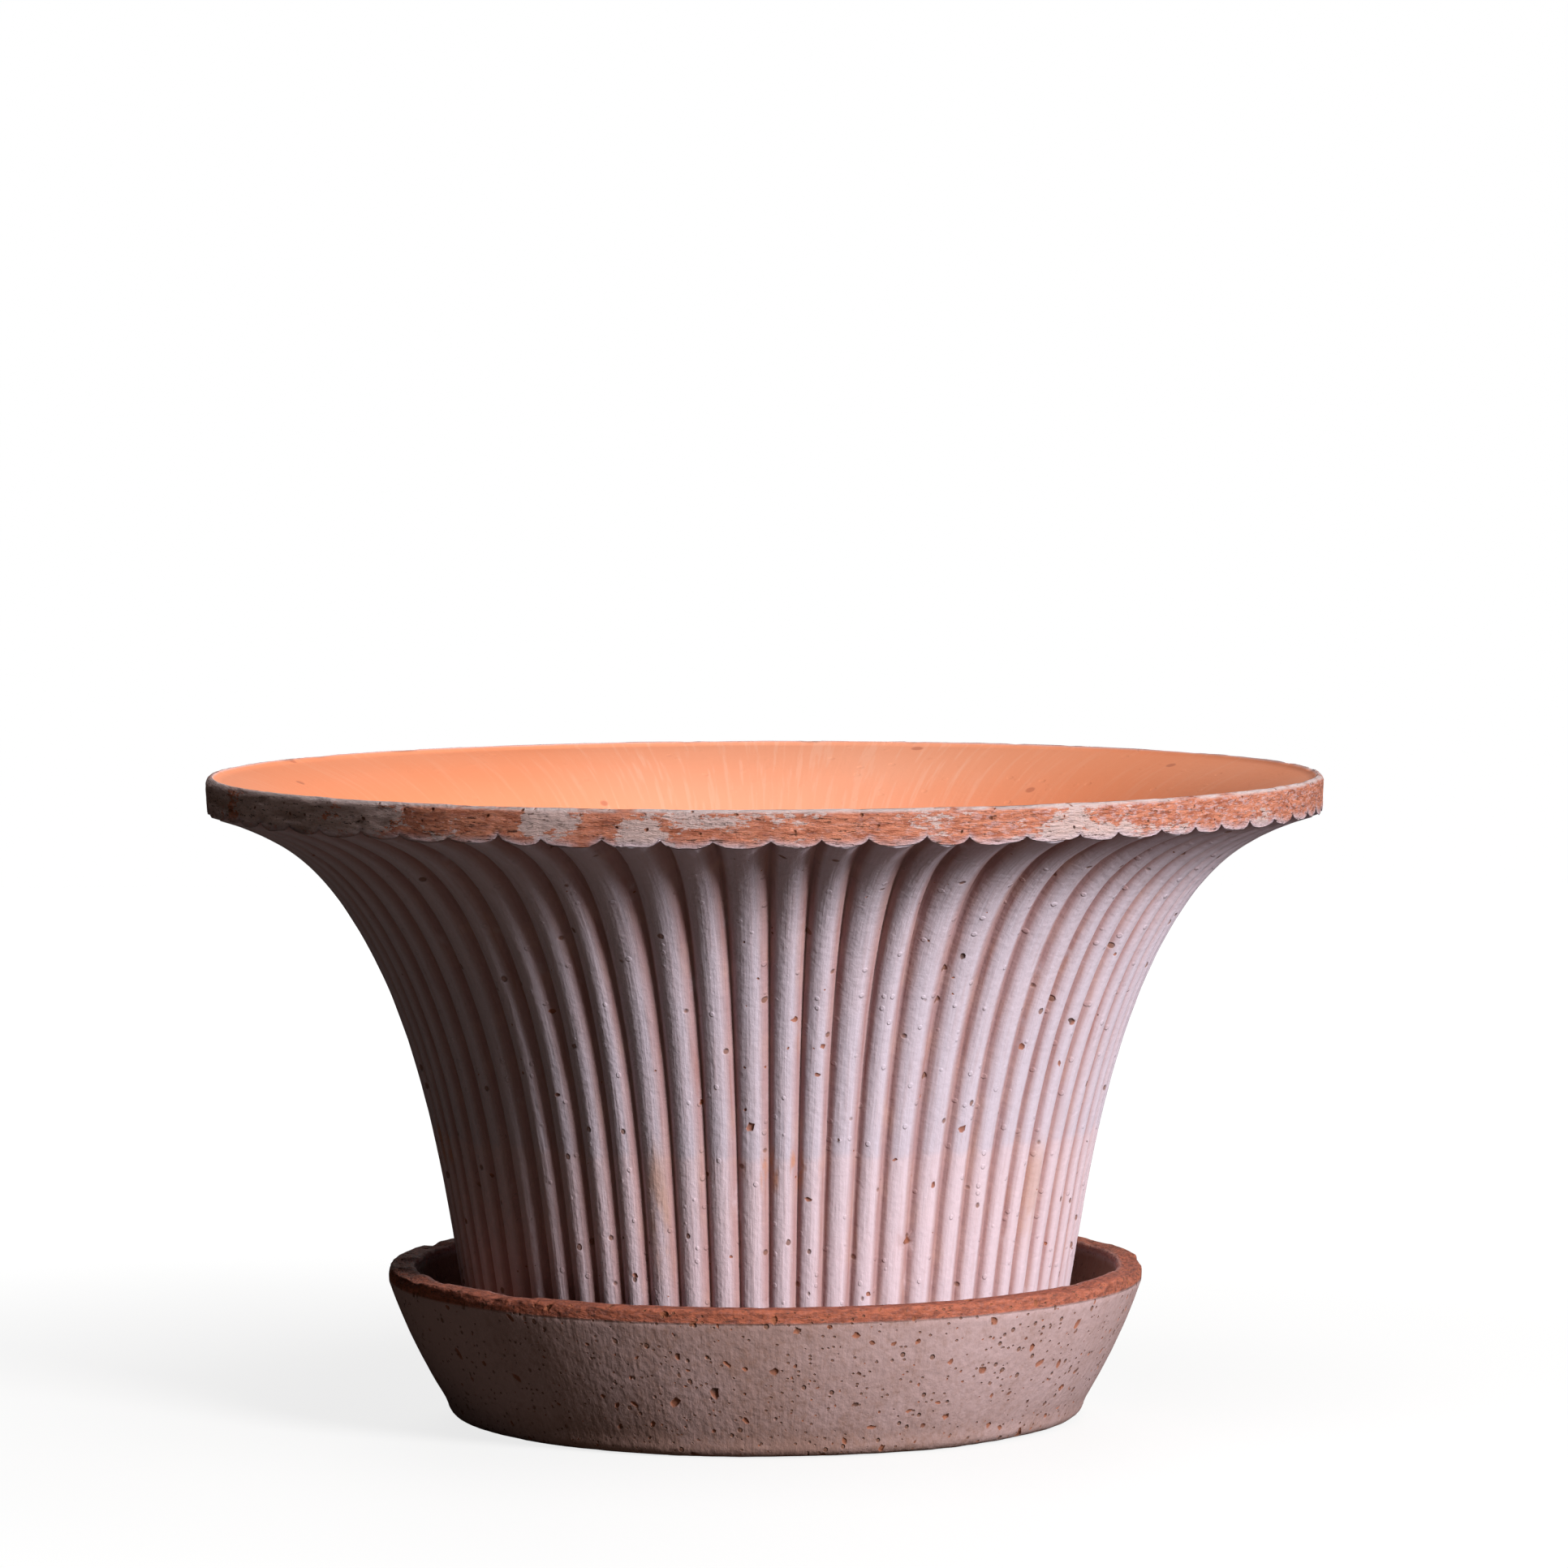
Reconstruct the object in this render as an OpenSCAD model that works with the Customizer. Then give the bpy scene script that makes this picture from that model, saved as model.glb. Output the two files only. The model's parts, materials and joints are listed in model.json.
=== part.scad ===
// A ribbed, flared terracotta pot standing loose in its round drip saucer.
// Millimetres, +Z up. The origin is the centre of the saucer's underside.

/* [Pot] */
// Diameter over the rim band, the widest part of the pot
rim_d = 250; // [240:1:270]
// Diameter of the foot before its corner is rounded
foot_d = 130; // [110:1:131]
// Height of the pot alone, foot to lip
pot_h = 138; // [125:1:160]
// Thickness of the fired wall, square to its surface
wall = 7.6; // [6:0.2:9]
// Thickness of the pot's floor
pot_floor = 9; // [7:0.5:14]
// Diameter of the drain hole in the middle of the floor
drain_d = 22; // [12:1:30]
// Height of the upright band round the rim, at the crest of a rib
band_h = 8; // [7:0.5:10]

/* [Ribs] */
// Number of rolls round the pot
ribs = 68; // [56:1:72]
// Depth of the grooves near the foot
groove_low = 1.7; // [0.6:0.1:2]
// Depth of the grooves where the flare meets the rim band
groove_high = 3; // [1.2:0.1:3.2]
// How unevenly the rolls are spaced, 0 for even
unevenness = 1; // [0:0.1:1.2]

/* [Saucer] */
// Diameter over the saucer's rim
saucer_d = 169.2; // [168:0.2:185]
// Diameter of the saucer's base before its corner is rounded
saucer_base_d = 139; // [137:1:144]
// Height of the saucer
saucer_h = 34; // [28:1:40]
// Thickness of the saucer's wall, measured level
saucer_wall = 6; // [4:0.5:6]
// Thickness of the saucer's floor
saucer_floor = 6; // [4:0.5:8]

/* [Hidden] */
$fn = 96;

rim_r = rim_d / 2;
foot_r = foot_d / 2;
foot_z = saucer_floor;
lip_z = foot_z + pot_h;
band_z = lip_z - band_h;

// the flare is the sum of a straight lean, a slow sweep and a sharp outward turn
spread = rim_r - foot_r;
lean_share = 0.326;
sweep_share = 0.431;
turn_share = 1 - lean_share - sweep_share;
sweep_power = 4;
turn_power = 22;

// how far the band's lower edge rises over a groove
scallop = 1.6;
foot_round = 2.5;
lip_round = 1.6;
// a rounded corner's middle point lies this share of its radius in from the sharp corner
corner_share = 0.3;
// the wall's levels start just above the foot's corner and crowd towards the rim
wall_start = 0.03;
wall_crowding = 2;
levels = 9;
groove_power = 2;
// places across one roll, from the groove at 0: its two shoulders and its two crest edges
rib_places = [0, 0.14, 0.38, 0.62, 0.86];
columns = ribs * len(rib_places);

cavity_z = foot_z + pot_floor;
cavity_round = 6;
cavity_levels = 16;
cavity_start = 0.14;
cavity_crowding = 1.7;
// the mouth opens this much wider and higher than the wall's last inner point
mouth_out = 0.5;
mouth_up = 0.1;
over = 6;

saucer_r = saucer_d / 2;
saucer_base_r = saucer_base_d / 2;
saucer_band_h = 3.6;
saucer_corner = 3.5;
saucer_lip_round = 1;
saucer_belly = 0.32;
saucer_levels = 6;
corner_steps = 5;
inner_corner_steps = 3;
inner_corner_start = -30;

// points on a quarter circle from angle a0 to a1
function arc(cx, cz, r, a0, a1, steps) = [
    for (i = [0:steps]) let (a = a0 + (a1 - a0) * i / steps) [cx + r * cos(a), cz + r * sin(a)]
];

// ---- the pot's outer surface ----
// radius over the roll crests; t runs from 0 at the foot to 1 at the rim band
function flare_r(t) =
    foot_r
    + spread * (lean_share * t + sweep_share * pow(t, sweep_power) + turn_share * pow(t, turn_power));
function flare_z(t) = foot_z + t * (band_z - foot_z);
function flare_slope(t) =
    spread * (lean_share + sweep_share * sweep_power * pow(t, sweep_power - 1)
    + turn_share * turn_power * pow(t, turn_power - 1)) / (band_z - foot_z);
// outward normal of the flare in the radius-height plane
function flare_normal(t) = let (s = flare_slope(t), n = sqrt(1 + s * s)) [1 / n, -s / n];

// 1 at the bottom of a groove, 0 on the crest of a roll; a roll is a shallow arch
function groove(place) = pow(1 - 2 * place, 2);
function groove_depth(t) = groove_low + (groove_high - groove_low) * pow(t, groove_power);

// slow waves make the rolls uneven, as hand-cut ones are
function waves(u) = 1.34 * sin(2 * u + 70) + 0.43 * sin(5 * u + 177) + 0.42 * sin(9 * u + 108) - 0.9;
// direction of a column
function column_angle(u) = -90 + u + unevenness * waves(u);
function column_u(c) =
    (floor(c / len(rib_places)) + rib_places[c % len(rib_places)]) * 360 / ribs;
function column_groove(c) = groove(rib_places[c % len(rib_places)]);

// a point of the flare pushed in along the normal by the groove
function flare_point(t, g) =
    let (d = groove_depth(t) * g, n = flare_normal(t)) [flare_r(t) - d * n[0], flare_z(t) - d * n[1]];
// the flare meets the band in a scalloped line that rises at every groove
function band_edge(g) = [rim_r, band_z + scallop * g];

// the outline at one column, from the underside to the lip
function outline(g) =
    let (foot_in = corner_share * foot_round, lip_in = corner_share * lip_round)
    concat(
        [[foot_r - foot_round, foot_z], [foot_r - foot_in - groove_low * g, foot_z + foot_in]],
        [
            for (i = [0:levels - 1])
                let (t = wall_start + (1 - wall_start) * (1 - pow(1 - i / levels, wall_crowding)))
                flare_point(t, g)
        ],
        [band_edge(g)],
        [[rim_r, lip_z - lip_round], [rim_r - lip_in, lip_z - lip_in], [rim_r - lip_round, lip_z]]
    );

module pot_body() {
    rings = len(outline(0));
    points = [
        for (c = [0:columns - 1])
            let (a = column_angle(column_u(c)), line = outline(column_groove(c)))
            for (p = line) [p[0] * cos(a), p[0] * sin(a), p[1]]
    ];
    sides = [
        for (c = [0:columns - 1], k = [0:rings - 2], half = [0, 1])
            let (c2 = (c + 1) % columns, low = c * rings + k, low2 = c2 * rings + k)
            half == 0 ? [low, low + 1, low2 + 1] : [low, low2 + 1, low2]
    ];
    underside = [for (c = [0:columns - 1]) c * rings];
    top = [for (c = [columns - 1:-1:0]) c * rings + rings - 1];
    polyhedron(points = points, faces = concat(sides, [underside, top]), convexity = 10);
}

// ---- the pot's inside ----
function inner_point(t) = let (n = flare_normal(t)) [flare_r(t) - wall * n[0], flare_z(t) - wall * n[1]];

function cavity_share(i) = 1 - pow(1 - i / cavity_levels, cavity_crowding);

module pot_cavity() {
    first = inner_point(cavity_start);
    last = inner_point(1);
    rotate_extrude()
        polygon(concat(
            [[0, cavity_z]],
            arc(first[0] - cavity_round, cavity_z + cavity_round, cavity_round, -90, 0, corner_steps),
            [
                for (i = [0:cavity_levels])
                    inner_point(cavity_start + (1 - cavity_start) * cavity_share(i))
            ],
            [[last[0] + mouth_out, lip_z + mouth_up], [last[0] + mouth_out, lip_z + over]],
            [[0, lip_z + over]]
        ));
}

module drain_hole() {
    translate([0, 0, foot_z - over])
        cylinder(d = drain_d, h = pot_floor + 2 * over);
}

module pot() {
    color("sienna")
        difference() {
            pot_body();
            pot_cavity();
            drain_hole();
        }
}

// ---- the saucer ----
saucer_band_z = saucer_h - saucer_band_h;
// radius of the saucer's outside below its rim band, a slightly bellied cone
function saucer_out_r(z) =
    let (s = z / saucer_band_z) saucer_base_r + (saucer_r - saucer_base_r) * s * (1 + saucer_belly * (1 - s));
function saucer_level(i, z0) = z0 + (saucer_band_z - z0) * i / saucer_levels;

module saucer() {
    inner_r = saucer_r - saucer_wall;
    inner_z = saucer_floor + saucer_corner;
    lip_low = saucer_h - saucer_lip_round;
    foot_corner_r = saucer_out_r(saucer_corner) - saucer_corner;
    floor_r = saucer_out_r(saucer_floor) - saucer_wall - saucer_corner;
    color("peru")
        rotate_extrude()
            polygon(concat(
                [[0, 0]],
                arc(foot_corner_r, saucer_corner, saucer_corner, -90, 0, corner_steps),
                [
                    for (i = [1:saucer_levels])
                        let (z = saucer_level(i, saucer_corner)) [saucer_out_r(z), z]
                ],
                arc(saucer_r - saucer_lip_round, lip_low, saucer_lip_round, 0, 90, corner_steps),
                arc(inner_r + saucer_lip_round, lip_low, saucer_lip_round, 90, 180, corner_steps),
                [
                    for (i = [saucer_levels:-1:0])
                        let (z = saucer_level(i, inner_z)) [saucer_out_r(z) - saucer_wall, z]
                ],
                arc(floor_r, inner_z, saucer_corner, inner_corner_start, -90, inner_corner_steps),
                [[0, saucer_floor]]
            ));
}

pot();
saucer();
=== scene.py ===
"""The looks of a fluted terracotta pot standing in its drip saucer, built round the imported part.

Each real piece is one closed skin: rings of points follow the piece's outline from its underside,
up the outside, over the lip and down the inside. The clay's damage, wash and stains ride on the skin
as vertex attributes, and the node materials read them.
"""

import json
import math
import random

import bpy
import numpy as np
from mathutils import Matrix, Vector, noise
from mathutils.geometry import delaunay_2d_cdt

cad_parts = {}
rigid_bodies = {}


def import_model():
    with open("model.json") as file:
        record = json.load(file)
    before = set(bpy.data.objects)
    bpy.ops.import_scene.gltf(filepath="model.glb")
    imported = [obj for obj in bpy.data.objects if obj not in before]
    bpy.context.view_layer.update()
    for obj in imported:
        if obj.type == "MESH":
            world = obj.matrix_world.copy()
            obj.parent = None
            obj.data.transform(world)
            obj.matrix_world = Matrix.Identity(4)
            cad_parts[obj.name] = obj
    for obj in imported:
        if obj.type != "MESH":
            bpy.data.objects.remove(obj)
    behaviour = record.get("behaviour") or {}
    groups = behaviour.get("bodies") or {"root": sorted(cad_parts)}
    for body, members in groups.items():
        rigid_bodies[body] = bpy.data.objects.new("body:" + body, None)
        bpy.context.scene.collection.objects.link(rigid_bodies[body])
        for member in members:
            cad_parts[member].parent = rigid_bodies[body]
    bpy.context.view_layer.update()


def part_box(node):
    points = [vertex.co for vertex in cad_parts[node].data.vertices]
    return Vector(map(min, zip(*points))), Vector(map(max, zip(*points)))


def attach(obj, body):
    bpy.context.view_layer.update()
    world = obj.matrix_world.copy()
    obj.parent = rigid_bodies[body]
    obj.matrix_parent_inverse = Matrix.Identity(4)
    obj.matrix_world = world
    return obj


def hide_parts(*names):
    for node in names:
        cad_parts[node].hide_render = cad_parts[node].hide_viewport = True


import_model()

MM = 0.001
FULL_TURN = 2 * math.pi
SEED = 7

# ---------------------------------------------------------------- sizes, from the frame

pot_low, pot_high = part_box("pot")
_, saucer_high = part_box("saucer")

RIM_R = pot_high.x
LIP_Z = pot_high.z
FOOT_Z = pot_low.z
SAUCER_R = saucer_high.x
SAUCER_H = saucer_high.z

# the pot's outline, as shares of its spread from foot to rim
FOOT_R = 0.52 * RIM_R
BAND_H = 8 * MM
BAND_Z = LIP_Z - BAND_H
SPREAD = RIM_R - FOOT_R
LEAN_SHARE = 0.326
SWEEP_SHARE = 0.431
TURN_SHARE = 1 - LEAN_SHARE - SWEEP_SHARE
SWEEP_POWER = 4
TURN_POWER = 22
WALL = 7.6 * MM
POT_FLOOR = 9 * MM
DRAIN_R = 11 * MM
FOOT_ROUND = 2.5 * MM
LIP_ROUND = 1.3 * MM
CAVITY_ROUND = 6 * MM
CAVITY_START = 0.14
WALL_START = 0.03

# the flutes: columns of points stand at these places across one roll, from its groove to the next
RIBS = 68
PLACES = (0.0, 0.05, 0.11, 0.2, 0.34, 0.5, 0.67, 0.79, 0.88, 0.95)
GROOVE_LOW = 1.7 * MM
GROOVE_HIGH = 3 * MM
GROOVE_GROWTH = 2
NOTCH = 1.6 * MM
NOTCH_SHARPNESS = 1.6
# slow waves in the spacing of the rolls: size in degrees, how many go round the pot, and start in degrees
WAVES = ((1.34, 2, 70), (0.43, 5, 177), (0.42, 9, 108))
WAVES_START = -0.9
# how far a column may stray sideways by the time it reaches the rim
STRAY = math.radians(0.55)
# the direction in which the wash is thin on both flanks of a roll, and where the bared clay also serves as
# painted groove shade
THIN_WASH_AND_SHADE_SIDE = math.radians(-35)

# the saucer's outline
SAUCER_BASE_R = 69.5 * MM
SAUCER_WALL = 6 * MM
SAUCER_FLOOR = FOOT_Z
SAUCER_BAND_H = 3.6 * MM
SAUCER_BAND_Z = SAUCER_H - SAUCER_BAND_H
SAUCER_BELLY = 0.32
SAUCER_CORNER = 3.5 * MM
SAUCER_LIP_ROUND = 1 * MM
SAUCER_COLUMNS = 480

# how many rings each stretch of the skins has; smooth stretches keep only every fourth column
COARSEN = 4
WALL_RINGS = 74
WALL_CROWDING = 1.6
INSIDE_RINGS = 40
INSIDE_CROWDING = 1.5
SAUCER_WALL_RINGS = 24
SAUCER_INSIDE_RINGS = 12

# how high up the wall damp clay has tinted the wash
TIDE = 64 * MM

# the largest pits in the pot's wall: angle in degrees from the front, place up the wall and radius in mm
BIG_PITS = (
    (-2.2, 69, 1.1), (4.5, 94, 0.75), (8.3, 81, 0.6), (26, 42, 1), (34, 67, 0.8),
    (43.5, 85, 0.65), (54, 90, 0.9), (54, 80, 0.6), (-130, 60, 1), (155, 84, 0.9), (100, 50, 0.8),
)
WALL_PITS = 280
BAND_PITS = 170
SAUCER_PITS = 900
# how deep pits are, as a share of their radius
BIG_PIT_DEPTH = 0.4
WALL_PIT_DEPTH = 0.45
BAND_PIT_DEPTH = 0.9
SAUCER_PIT_DEPTH = 0.35
BIG_PIT_STRETCH = 1.4
# a pit takes up the cells within PIT_REACH radii of its middle, and drops their points within PIT_CLEAR
PIT_REACH = 1.3
PIT_CLEAR = 1.25
# a pit's rings from its edge inwards: share of its radius, share of its depth, mark and corners
PIT_CORNERS = 9
PIT_RINGS = (
    (1.1, 0.0, 0.0, PIT_CORNERS),
    (1.0, 0.02, 0.5, PIT_CORNERS),
    (0.88, 0.5, 1.0, PIT_CORNERS),
    (0.5, 0.95, 1.0, 6),
)

# the drum that the flat coordinates of both skins are rolled on, so that patterns have no seam
DRUM_R = 90 * MM
# how far short of the inside's first ring the middle of the pot's rim band lies, along the outline
BAND_MIDDLE = 7 * MM

# the gap kept round every strip of the flat layout, as a share of the strip
STRIP_GAP = 0.02

# soft boxes: azimuth and elevation in degrees, distance and side in metres, power in watts, and colour
LIGHTS = {
    "key": (43, 22.5, 1.4, 0.4, 26.2, (1.0, 0.985, 0.97)),
    "low_fill": (-30, 2, 1.6, 0.6, 0.45, (1.0, 0.88, 0.76)),
    "top": (8, 78, 1.5, 0.8, 7, (1.0, 0.98, 0.97)),
    "back": (180, 10, 1.5, 0.7, 5, (1.0, 0.98, 0.96)),
}
# light from all round, outside the camera's view
DIM = (0.003, 0.002, 0.0012, 1)
WHITE = (1, 1, 1, 1)

# a long lens on a 36 mm sensor, standing well back and looking slightly down
LENS_MM = 174.5
SENSOR_MM = 36
CAMERA_AT = (4.6 * MM, -1.7, 0.2496)
CAMERA_DOWN_DEG = 3.64
CAMERA_ROLL_DEG = 0.15


# ---------------------------------------------------------------- small helpers

def arc(centre_r, centre_z, radius, start_deg, end_deg, steps):
    """Points (r, z) along part of a circle."""
    angles = np.radians(np.linspace(start_deg, end_deg, steps + 1))
    return [(centre_r + radius * math.cos(a), centre_z + radius * math.sin(a)) for a in angles]


def smooth(value, low, high):
    """0 below low, 1 above high, and an even S between."""
    s = np.clip((value - low) / (high - low), 0, 1)
    return s * s * (3 - 2 * s)


def rough(points, scale, octaves=4):
    """Fractal noise, about -1 to 1, at every point of an array whose last axis is x, y, z."""
    flat = points.reshape(-1, 3) * scale
    values = [noise.fractal(Vector(p), 1.0, 2.0, octaves) for p in flat]
    return np.array(values).reshape(points.shape[:-1])


def drum(angles, along):
    """Points on a drum: the angle goes round it and the distance along the outline is its height."""
    a, s = np.broadcast_arrays(angles, along)
    return np.stack([DRUM_R * np.cos(a), DRUM_R * np.sin(a), s], axis=-1)


# ---------------------------------------------------------------- rings, grids and meshes

# the thin mark holds both where the wash is really thin and where groove shade is painted as bared clay
MARKS = ("groove", "thin", "torn", "hem", "lip", "bare", "pit")


def ring(r, z, region, coarse=False, lean=0.0, level=False, **marks):
    """One ring of an outline. r, z and the marks are numbers, or one value per column.

    lean is the share of the columns' sideways strays that the ring takes. A level ring's pattern follows
    its true height, not its place in the outline.
    """
    return {"r": r, "z": z, "region": region, "coarse": coarse, "lean": lean, "level": level, "marks": marks}


class Grid:
    """An outline's rings on every column, and the distance along the outline to each ring."""

    def __init__(self, rings, angles, strays, measured_column):
        columns = len(angles)
        spread = lambda value: np.broadcast_to(np.asarray(value, float), (columns,))
        self.angles = angles
        self.r = np.array([spread(g["r"]) for g in rings])
        self.z = np.array([spread(g["z"]) for g in rings])
        self.marks = {m: np.array([spread(g["marks"].get(m, 0.0)) for g in rings]) for m in MARKS}
        self.regions = [g["region"] for g in rings]
        self.coarse = [g["coarse"] for g in rings]
        self.turn = np.outer([g["lean"] for g in rings], strays)
        steps = np.hypot(np.diff(self.r[:, measured_column]), np.diff(self.z[:, measured_column]))
        along = np.concatenate([[0], np.cumsum(steps)])
        self.along = along - along[self.coarse.index(False)]
        rise = self.z - self.z[:, measured_column, None]
        self.level = self.along[:, None] + rise * np.array([g["level"] for g in rings])[:, None]

    def drum_points(self):
        return drum(self.angles[None, :], self.level)

    def push(self, amount):
        """Moves every point square to the outline by amount, outwards where it is positive."""
        d_r = np.gradient(self.r, axis=0)
        d_z = np.gradient(self.z, axis=0)
        length = np.hypot(d_r, d_z) + 1e-9
        self.r = self.r + amount * d_z / length
        self.z = self.z - amount * d_r / length

    def points(self):
        a = self.angles + self.turn
        return np.stack([self.r * np.cos(a), self.r * np.sin(a), self.z], axis=-1)


class Skin:
    """The closed mesh over a grid, with pits cut into it."""

    def __init__(self, grid, coarsen, wraps):
        self.grid = grid
        self.coarsen = coarsen
        self.wraps = wraps
        self.columns = len(grid.angles)
        self.xyz = grid.points()
        self.drum = grid.drum_points()
        self.used = np.zeros((len(grid.along), self.columns), bool)
        self.points = []
        self.angles = []
        self.levels = []
        self.values = {m: [] for m in MARKS}
        self.faces = []
        self.regions = []
        self.ids = -np.ones((len(grid.along), self.columns), int)
        for i, coarse in enumerate(grid.coarse):
            for c in range(0, self.columns, coarsen if coarse else 1):
                marks = {m: grid.marks[m][i, c] for m in MARKS}
                self.ids[i, c] = self.add(self.xyz[i, c], grid.angles[c], grid.level[i, c], marks)

    def add(self, point, angle, level, marks):
        """Adds one point with its place on the drum and its marks, and returns its number."""
        self.points.append(point)
        self.angles.append(angle)
        self.levels.append(level)
        for m in MARKS:
            self.values[m].append(marks.get(m, 0.0))
        return len(self.points) - 1

    def face(self, region, *corners):
        self.faces.append(corners)
        self.regions.append(region)

    # -- plain faces between rings

    def cover(self):
        """Fills every gap between neighbouring rings that no pit has taken."""
        rings = len(self.grid.along)
        pairs = [(i, i + 1) for i in range(rings - 1)]
        if self.wraps:
            pairs.append((rings - 1, 0))
        else:
            self.cap(0, flip=True)
            self.cap(rings - 1, flip=False)
        for i, j in pairs:
            region = self.grid.regions[j]
            low_coarse, high_coarse = self.grid.coarse[i], self.grid.coarse[j]
            if low_coarse == high_coarse:
                self.cover_even(region, i, j, self.coarsen if low_coarse else 1)
            else:
                self.cover_uneven(region, i, j, low_coarse)

    def cover_even(self, region, i, j, step):
        for c in range(0, self.columns, step):
            d = (c + step) % self.columns
            if step > 1 or not self.used[i, c]:
                self.face(region, self.ids[i, c], self.ids[i, d], self.ids[j, d], self.ids[j, c])

    def cover_uneven(self, region, i, j, low_coarse):
        """Fans between a coarse ring and a fine one."""
        k = self.coarsen
        half = k // 2
        wide, thin = (i, j) if low_coarse else (j, i)
        for c in range(0, self.columns, k):
            a0, a1 = self.ids[wide, c], self.ids[wide, (c + k) % self.columns]
            f = [self.ids[thin, (c + n) % self.columns] for n in range(k + 1)]
            fans = [(a0, f[n + 1], f[n]) for n in range(half)]
            fans.append((a0, a1, f[half]))
            fans += [(a1, f[n + 1], f[n]) for n in range(half, k)]
            for fan in fans:
                self.face(region, *(fan if low_coarse else fan[::-1]))

    def cap(self, i, flip):
        """Closes a ring with a fan to the point on its axis."""
        step = self.coarsen if self.grid.coarse[i] else 1
        centre = self.add(Vector((0, 0, float(self.grid.z[i].mean()))), 0.0, self.grid.along[i], {})
        for c in range(0, self.columns, step):
            pair = self.ids[i, c], self.ids[i, (c + step) % self.columns]
            self.face(self.grid.regions[i], centre, *(pair[::-1] if flip else pair))

    # -- pits

    def between(self, array, row, column):
        """The value of a grid array at a place between rings and columns."""
        i, c = int(math.floor(row)), int(math.floor(column))
        v, u = row - i, column - c
        c0, c1 = c % self.columns, (c + 1) % self.columns
        low = array[i, c0] * (1 - u) + array[i, c1] * u
        high = array[i + 1, c0] * (1 - u) + array[i + 1, c1] * u
        return low * (1 - v) + high * v

    def pit(self, angle, along, radius, depth, stretch, rng):
        """Cuts one rough-edged oval pit into the fine part of the skin; skips it where there is no room."""
        grid = self.grid
        from_first = np.append(grid.angles - grid.angles[0], FULL_TURN)
        column = float(np.interp((angle - grid.angles[0]) % FULL_TURN, from_first, range(self.columns + 1)))
        row = float(np.interp(along, grid.along, range(len(grid.along))))
        i, c = int(row), int(column) % self.columns
        if i < 1 or i + 2 >= len(grid.along) or grid.coarse[i - 1] or grid.coarse[i + 2]:
            return False
        across = Vector(self.xyz[i, (c + 1) % self.columns] - self.xyz[i, c])
        upward = Vector(self.xyz[i + 1, c] - self.xyz[i, c])
        normal = across.cross(upward).normalized()
        wide, tall = across.length, upward.length
        reach = PIT_REACH * radius * stretch
        c0, c1 = math.floor(column - reach / wide), math.ceil(column + reach / wide)
        i0, i1 = math.floor(row - reach / tall), math.ceil(row + reach / tall)
        if i0 < 0 or i1 >= len(grid.along) or any(grid.coarse[i0:i1 + 1]):
            return False
        block = np.ix_(range(i0, i1), [n % self.columns for n in range(c0, c1)])
        if self.used[block].any():
            return False
        self.used[block] = True

        flat, ids = [], []

        def keep(u, v, vertex):
            flat.append(Vector(((u - column) * wide, (v - row) * tall)))
            ids.append(vertex)

        clear = PIT_CLEAR * radius
        tilt = rng.uniform(0, math.pi)
        tilt_x, tilt_y = math.cos(tilt), math.sin(tilt)
        border = [(c0 + n, i0) for n in range(c1 - c0)]
        border += [(c1, i0 + n) for n in range(i1 - i0)]
        border += [(c1 - n, i1) for n in range(c1 - c0)]
        border += [(c0, i1 - n) for n in range(i1 - i0)]
        for u, v in border:
            keep(u, v, self.ids[v, u % self.columns])
        edges = [(n, (n + 1) % len(border)) for n in range(len(border))]
        for u in range(c0 + 1, c1):
            for v in range(i0 + 1, i1):
                x, y = (u - column) * wide, (v - row) * tall
                if math.hypot((x * tilt_x + y * tilt_y) / stretch, y * tilt_x - x * tilt_y) > clear:
                    keep(u, v, self.ids[v, u % self.columns])
        start = rng.uniform(0, FULL_TURN)
        bumps = [rng.uniform(0.62, 1.12) for _ in range(PIT_CORNERS)]
        for share, sunk, mark, count in PIT_RINGS:
            first = len(flat)
            for n in range(count):
                a = start + FULL_TURN * n / count
                size = radius * share * (bumps[n] if count == PIT_CORNERS else 0.9)
                x, y = size * stretch * math.cos(a), size * math.sin(a)
                u = column + (x * tilt_x - y * tilt_y) / wide
                v = row + (x * tilt_y + y * tilt_x) / tall
                self.keep_sunk(keep, u, v, normal, sunk * depth, mark)
                edges.append((first + n, first + (n + 1) % count))
        self.keep_sunk(keep, column, row, normal, depth, 1.0)
        made = delaunay_2d_cdt(flat, edges, [], 1, 1e-9)
        source = made[3]
        for triangle in made[2]:
            self.face(grid.regions[i], *(ids[source[n][0]] for n in triangle))
        return True

    def keep_sunk(self, keep, u, v, normal, sunk, mark):
        """Adds a point of a pit, sunk below the skin, and keeps its flat place."""
        marks = {m: float(self.between(self.grid.marks[m], v, u)) for m in MARKS}
        marks["pit"] = mark
        place = self.between(self.xyz, v, u) - np.array(normal) * sunk
        home = self.between(self.drum, v, u)
        angle = math.atan2(home[1], home[0])
        keep(u, v, self.add(place, angle, float(home[2]), marks))

    # -- the mesh

    def build(self, name, material, layout):
        """Makes the Blender object, with its marks, its drum coordinates and its own flat layout."""
        keep = sorted({v for face in self.faces for v in face})
        new = {old: n for n, old in enumerate(keep)}
        mesh = bpy.data.meshes.new(name)
        mesh.from_pydata([tuple(self.points[v]) for v in keep], [], [[new[v] for v in f] for f in self.faces])
        mesh.polygons.foreach_set("use_smooth", np.ones(len(mesh.polygons), bool))
        angle = np.array(self.angles)[keep]
        level = np.array(self.levels)[keep]
        for m in MARKS:
            layer = mesh.attributes.new(m, "FLOAT", "POINT")
            layer.data.foreach_set("value", np.array(self.values[m])[keep])
        layer = mesh.attributes.new("drum", "FLOAT_VECTOR", "POINT")
        layer.data.foreach_set("vector", drum(angle, level).astype(np.float32).ravel())
        lay_flat(mesh, self.regions, angle, level, layout)
        mesh.materials.append(material)
        mesh.update()
        obj = bpy.data.objects.new(name, mesh)
        bpy.context.scene.collection.objects.link(obj)
        return obj


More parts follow.
